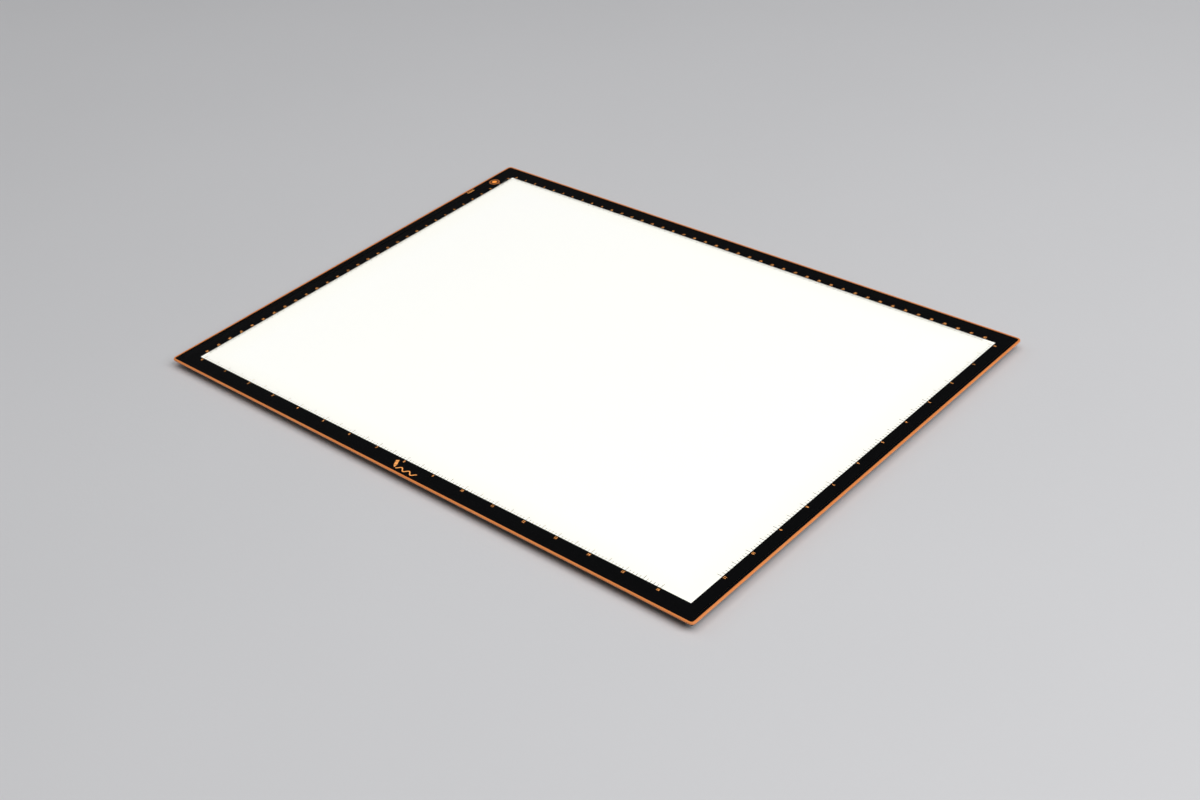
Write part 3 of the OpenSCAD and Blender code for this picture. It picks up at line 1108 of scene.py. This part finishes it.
@dataclass
class Feet:
    """Round rubber feet with a soft edge and three fine grooves."""

    finish: Finish
    radius: float = 5.0 * MM
    round_edge: float = 0.45 * MM
    groove: float = 0.18 * MM
    groove_radii: tuple[float, ...] = (1.6 * MM, 2.7 * MM, 3.8 * MM)
    round_steps: int = 6
    segments: int = 48
    sharp_from: float = math.radians(40)

    def profile(self, height: float) -> list[tuple[float, float]]:
        """Half the foot's section.

        Args:
            height: The foot's height.

        Returns:
            Radius and height of each point, from the middle of the underside outwards and up.
        """
        points = [(0.0, 0.0)]
        for radius in self.groove_radii:
            points += [
                (radius - self.groove, 0.0), (radius - self.groove / 2, self.groove),
                (radius + self.groove / 2, self.groove), (radius + self.groove, 0.0),
            ]
        for i in range(self.round_steps + 1):
            angle = math.pi / 2 * i / self.round_steps
            points.append((
                self.radius - self.round_edge + self.round_edge * math.sin(angle),
                self.round_edge - self.round_edge * math.cos(angle),
            ))
        return [*points, (self.radius, height), (0.0, height)]

    def spots(self) -> list[Vector]:
        """The middle of each CAD foot in plan."""
        low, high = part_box("feet")
        xs = (low.x + self.radius, (low.x + high.x) / 2, high.x - self.radius)
        ys = (low.y + self.radius, high.y - self.radius)
        return [Vector((x, y)) for x in xs for y in ys]

    def ring(self, built: bmesh.types.BMesh, spot: Vector, radius: float, z: float) -> Ring:
        """Adds the points of one ring round a foot's axis.

        Args:
            built: The mesh to add to.
            spot: The foot's middle in plan.
            radius: The ring's radius. At 0 it is a single point.
            z: The ring's height.

        Returns:
            The new points.
        """
        if radius == 0:
            return [built.verts.new((spot.x, spot.y, z))]
        turns = [math.tau * i / self.segments for i in range(self.segments)]
        places = [(spot.x + radius * math.cos(t), spot.y + radius * math.sin(t), z) for t in turns]
        return [built.verts.new(place) for place in places]

    def skin(self, built: bmesh.types.BMesh, lower: Ring, upper: Ring) -> None:
        """Joins two rings with faces, which are triangles where one ring is a point.

        Args:
            built: The mesh to add to.
            lower: The points of one ring.
            upper: The points of the next.
        """
        for i in range(self.segments):
            j = (i + 1) % self.segments
            corners = [
                lower[i % len(lower)], lower[j % len(lower)], upper[j % len(upper)], upper[i % len(upper)]
            ]
            built.faces.new(list(dict.fromkeys(corners)))

    def build(self) -> None:
        """Spins one foot at each place."""
        low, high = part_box("feet")
        section = self.profile(high.z - low.z)
        built = bmesh.new()
        for spot in self.spots():
            rings = [self.ring(built, spot, radius, low.z + z) for radius, z in section]
            for lower, upper in zip(rings, rings[1:]):
                self.skin(built, lower, upper)
        bmesh.ops.recalc_face_normals(built, faces=built.faces)
        mesh = bpy.data.meshes.new("rubber_feet")
        built.to_mesh(mesh)
        built.free()
        mesh.shade_smooth()
        mesh.set_sharp_from_angle(angle=self.sharp_from)
        settle(new_piece("rubber_feet", mesh, self.finish.build()), ROOT, "foot_rubber", "feet")


# The whole pad

# ABS, moulded satin: the warm orange of the rim keeps a soft highlight on its eased edges.
ORANGE_ABS = MouldedPlastic(
    "orange_abs", "#EF8D46", 0.38, 1.54, grain=(0.5, 0.004), flow_colour="#F29650"
)
# ABS with a spark-eroded grain: dull black that catches light as a fine speckle.
GRAINED_ABS = MouldedPlastic(
    "grained_black_abs", "#17171A", 0.55, 1.54, grain=(0.8, 0.03), flow_colour="#1C1C1F"
)
# Polished cap: the same black, nearly smooth.
SMOOTH_ABS = MouldedPlastic(
    "smooth_black_abs", "#050506", 0.3, 1.54, grain=(0.5, 0.002), flow_colour="#08080A"
)
# Hard-coated polyester.
HARD_COAT = ClearHardCoat("hard_coated_polyester", "#FFFFFF", 0.18, 1.45)
# Two passes of black ink behind the sheet.
BLACK_INK = PrintedInk("black_screen_ink", "#020203", 0.5, 1.5, mottle_colour="#040405")
# Thin black ink on the lit window.
TICK_INK = PrintedInk("tick_screen_ink", "#0A0A0C", 0.6, 1.5, mottle_colour="#101014")
# Orange screen ink with a painted glow: an emission that makes it look brighter than the light that falls
# on it.
GLOWING_ORANGE_INK = PrintedInk("orange_screen_ink_painted_glow", "#F49E52", 0.5, 1.5, mottle_colour="#F8AA62", glow=0.35)
# White polyester film: a clean, even matt white.
WHITE_FILM = MouldedPlastic(
    "white_polyester_film", "#F2F2F0", 0.6, 1.57, grain=(0.4, 0.002), flow_colour="#F6F6F4"
)
# Cast acrylic: glass clear, with white dots that carry the light out.
ACRYLIC = ClearAcrylic("cast_acrylic", "#F4FAFB", 0.05, 1.49)
# Extruded aluminium: pale grey with fine lines along its length.
ALUMINIUM = DrawnMetal("extruded_aluminium", "#C9CACC", 0.35, 1.5, 1.0, tone="#D6D7D9")
# Acrylic foam tape: dull and slightly yellow.
ADHESIVE = MouldedPlastic("adhesive_tape", "#D8D8CE", 0.7, 1.45, grain=(0.6, 0.01), flow_colour="#CFCFC4")
# White solder mask: satin, with its tracks as faint ridges.
WHITE_BOARD = CircuitBoard("white_solder_mask", "#EDEDE8", 0.4, 1.55, track="#E2E2DB")
# Green solder mask: glossier, with lighter tracks.
GREEN_BOARD = CircuitBoard("green_solder_mask", "#123F24", 0.35, 1.55, track="#1C5A33")
# Moulded white resin: the smooth cup round each lamp.
LAMP_BODY = MouldedPlastic("lamp_resin", "#EFEDE2", 0.45, 1.55, grain=(0.1, 0.002), flow_colour="#F4F2E8")
# Silicone with phosphor: a soft, shiny yellow.
PHOSPHOR = MouldedPlastic(
    "phosphor_silicone", "#F3D75A", 0.3, 1.41, grain=(0.08, 0.004), flow_colour="#F7E07A"
)
# Moulded epoxy: matt charcoal with a very fine grain.
EPOXY = MouldedPlastic("moulded_epoxy", "#1D1D1F", 0.6, 1.55, grain=(0.12, 0.004), flow_colour="#232326")
# Tinned copper: bright, slightly streaked.
TIN = DrawnMetal("tin_plate", "#C4C4C2", 0.3, 1.5, 1.0, along=(1.0, 0.2, 1.0), tone="#D2D2D0")
# Nickel plated steel: bright and a little warm.
NICKEL = DrawnMetal("nickel_plated_steel", "#BFBEBC", 0.25, 1.5, 1.0, along=(0.1, 1.0, 1.0), tone="#CECDCB")
# Zinc plated steel: blue-grey, drawn along the screw.
ZINC = DrawnMetal("zinc_plated_steel", "#A8AAAE", 0.32, 1.5, 1.0, along=(1.0, 1.0, 0.2), tone="#BCBEC2")
# Gold flash: thin, bright yellow.
GOLD = DrawnMetal("gold_flash", "#E0B354", 0.22, 1.5, 1.0, tone="#EAC26A")
# Sintered ferrite: dark, dusty grey.
FERRITE = MouldedPlastic(
    "sintered_ferrite", "#2B2B2D", 0.65, 1.6, grain=(0.1, 0.01), flow_colour="#333336"
)
# Fired ceramic: matt tan.
CERAMIC = MouldedPlastic("fired_ceramic", "#B08A5C", 0.5, 1.6, grain=(0.1, 0.004), flow_colour="#BB966A")
# Natural nylon: waxy off-white.
NYLON = MouldedPlastic("natural_nylon", "#E9E6D8", 0.45, 1.53, grain=(0.15, 0.003), flow_colour="#EFECE0")
# Soft vinyl insulation: satin, in two colours.
RED_PVC = MouldedPlastic("red_pvc", "#A91410", 0.4, 1.53, grain=(0.3, 0.003), flow_colour="#B41A15")
BLACK_PVC = MouldedPlastic("black_pvc", "#101011", 0.4, 1.53, grain=(0.3, 0.003), flow_colour="#161617")
# Polyimide tape: glossy amber.
POLYIMIDE = MouldedPlastic(
    "polyimide_tape", "#B3701A", 0.25, 1.6, grain=(0.8, 0.006), flow_colour="#BE7C24"
)
# Rubber: matt black that hardly shines.
RUBBER = MouldedPlastic("matt_rubber", "#1B1B1B", 0.8, 1.52, grain=(0.25, 0.01), flow_colour="#222221")
# Silver polyester: a soft metallic grey.
LABEL_FOIL = MouldedPlastic(
    "silver_polyester_label", "#B4B6B9", 0.45, 1.5, 0.4, grain=(0.3, 0.002), flow_colour="#BDBFC2"
)

# Matt vinyl: a plain pale grey for the pad to lie on.
PALE_VINYL = MouldedPlastic(
    "pale_floor", "#DADADC", 0.7, 1.45, grain=(2, 0.05), flow_colour="#DDDDDF", flow_mm=400
)

CAD_FINISHES: dict[str, Finish] = {
    "edge_frame": ORANGE_ABS, "key_ring": ORANGE_ABS,
    "back_cover": GRAINED_ABS, "control_strip": GRAINED_ABS, "key_cap": SMOOTH_ABS,
    "cover_sheet": HARD_COAT, "border_print": BLACK_INK, "light_guide": ACRYLIC,
    "reflector_sheet": WHITE_FILM, "edge_reflector_left": WHITE_FILM, "edge_reflector_right": WHITE_FILM,
    "lamp_rail_front": ALUMINIUM, "lamp_rail_back": ALUMINIUM,
    "rail_tape_front": ADHESIVE, "rail_tape_back": ADHESIVE, "board_tape": ADHESIVE,
    "lamp_board_front": WHITE_BOARD, "lamp_board_back": WHITE_BOARD, "control_board": GREEN_BOARD,
    "lamps_front": LAMP_BODY, "lamps_back": LAMP_BODY,
    "lamp_faces_front": PHOSPHOR, "lamp_faces_back": PHOSPHOR,
    "control_chip": EPOXY, "driver_chip": EPOXY, "power_transistor": EPOXY, "resistors": EPOXY,
    "switch_base": EPOXY, "socket_tongue": EPOXY, "chip_pins": TIN, "switch_terminals": TIN,
    "inductor": FERRITE, "capacitors": CERAMIC, "lead_connector": NYLON, "switch_plunger": NYLON,
    "snap_dome": NICKEL, "socket_shell": NICKEL, "socket_contacts": GOLD,
    "lead_front_red": RED_PVC, "lead_back_red": RED_PVC,
    "lead_front_black": BLACK_PVC, "lead_back_black": BLACK_PVC,
    "wire_tapes": POLYIMIDE, "cover_screws": ZINC, "rating_label": LABEL_FOIL,
}


@dataclass
class LightPad:
    """The whole pad: CAD nodes with their finishes, and the pieces that only the looks need."""

    window: Window = field(default_factory=find_window)

    def dress_nodes(self) -> None:
        """Gives every carried-over CAD node its finish."""
        for node, finish in CAD_FINISHES.items():
            dress(node, finish)
        dress("opal_plate", LitOpal(
            "lit_opal_acrylic", "#B6B6B2", 0.4, 1.49, strength=0.68,
            centre=self.window.centre, half_size=self.window.half_size,
        ))
        low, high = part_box("key_inlay")
        # The key's inlay gets a painted glow round its middle.
        dress("key_inlay", BacklitPlastic(
            "orange_abs_painted_glow", "#E8862E", 0.4, 1.54, grain=(0.5, 0.003),
            flow_colour="#EE9038", glow="#FFC069", strength=0.6,
            centre=((low.x + high.x) / 2, (low.y + high.y) / 2),
        ))

    def build(self) -> None:
        """Builds and dresses everything."""
        self.dress_nodes()
        print_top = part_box("border_print")[1].z
        PrintedScales(self.window, print_top, TICK_INK, GLOWING_ORANGE_INK).build()
        PrintedMarks(self.window, print_top, GLOWING_ORANGE_INK).build()
        Feet(RUBBER).build()


# Studio


@dataclass(frozen=True)
class SoftBox:
    """A large soft light that points at the pad."""

    name: str
    azimuth: float
    elevation: float
    distance: float
    size: float
    power: float
    colour: str = "#FFFFFF"

    def build(self) -> None:
        """Makes the light."""
        data = bpy.data.lights.new(self.name, "AREA")
        data.size = self.size
        data.energy = self.power
        data.color = linear(self.colour)[:3]
        light = bpy.data.objects.new(self.name, data)
        bpy.context.scene.collection.objects.link(light)
        back = direction(self.azimuth, self.elevation)
        light.location = back * self.distance
        light.rotation_mode = "QUATERNION"
        light.rotation_quaternion = (-back).to_track_quat("-Z", "Y")


def direction(azimuth: float, elevation: float) -> Vector:
    """The direction from the pad to a viewer: azimuth 0 stands in front, 90 at the right.

    Args:
        azimuth: Degrees round the pad.
        elevation: Degrees above the horizon.

    Returns:
        A unit vector.
    """
    a, e = math.radians(azimuth), math.radians(elevation)
    return Vector((math.sin(a) * math.cos(e), -math.cos(a) * math.cos(e), math.sin(e)))


@dataclass
class Studio:
    """Floor, lights and camera."""

    azimuth: float = 45.69
    elevation: float = 34.18
    roll: float = -6.41
    distance: float = 1095.6 * MM
    target: tuple[float, float, float] = (36.9 * MM, -46.9 * MM, 6.8 * MM)
    lens: float = 51.76
    shift_x: float = 0.0195
    near: float = 10 * MM
    far: float = 50.0
    floor_size: float = 12.0
    surround: float = 0.12
    lights: tuple[SoftBox, ...] = (
        SoftBox("key_light", 95, 44, 2.4, 1.8, 34),
        SoftBox("top_light", 20, 84, 2.6, 2.4, 26),
        SoftBox("left_light", -75, 35, 2.6, 1.6, 6),
    )

    def build_floor(self) -> None:
        """A plain pale floor."""
        half = self.floor_size / 2
        mesh = bpy.data.meshes.new("floor")
        corners = [(-half, -half, 0), (half, -half, 0), (half, half, 0), (-half, half, 0)]
        mesh.from_pydata(corners, [], [(0, 1, 2, 3)])
        floor = new_piece("floor", mesh, PALE_VINYL.build())

    def build_world(self) -> None:
        """An even, soft surround."""
        world = bpy.data.worlds.new("surround")
        world.use_nodes = True
        background = world.node_tree.nodes["Background"]
        background.inputs["Color"].default_value = linear("#E9EBEE")
        background.inputs["Strength"].default_value = self.surround
        bpy.context.scene.world = world

    def build_camera(self) -> None:
        """The camera, at the pad's front right."""
        data = bpy.data.cameras.new("camera")
        data.lens = self.lens
        data.shift_x = self.shift_x
        data.clip_start = self.near
        data.clip_end = self.far
        camera = bpy.data.objects.new("camera", data)
        bpy.context.scene.collection.objects.link(camera)
        back = direction(self.azimuth, self.elevation)
        camera.location = Vector(self.target) + back * self.distance
        camera.rotation_mode = "QUATERNION"
        level = (-back).to_track_quat("-Z", "Y")
        roll = Matrix.Rotation(math.radians(self.roll), 3, "Z").to_quaternion()
        camera.rotation_quaternion = level @ roll
        bpy.context.scene.camera = camera

    def build(self) -> None:
        """Builds the studio."""
        self.build_floor()
        self.build_world()
        for light in self.lights:
            light.build()
        self.build_camera()
        bpy.context.scene.view_settings.view_transform = "Standard"


def main() -> None:
    """Builds the studio and the pad."""
    Studio().build()
    LightPad().build()


if __name__ == "__main__":
    main()
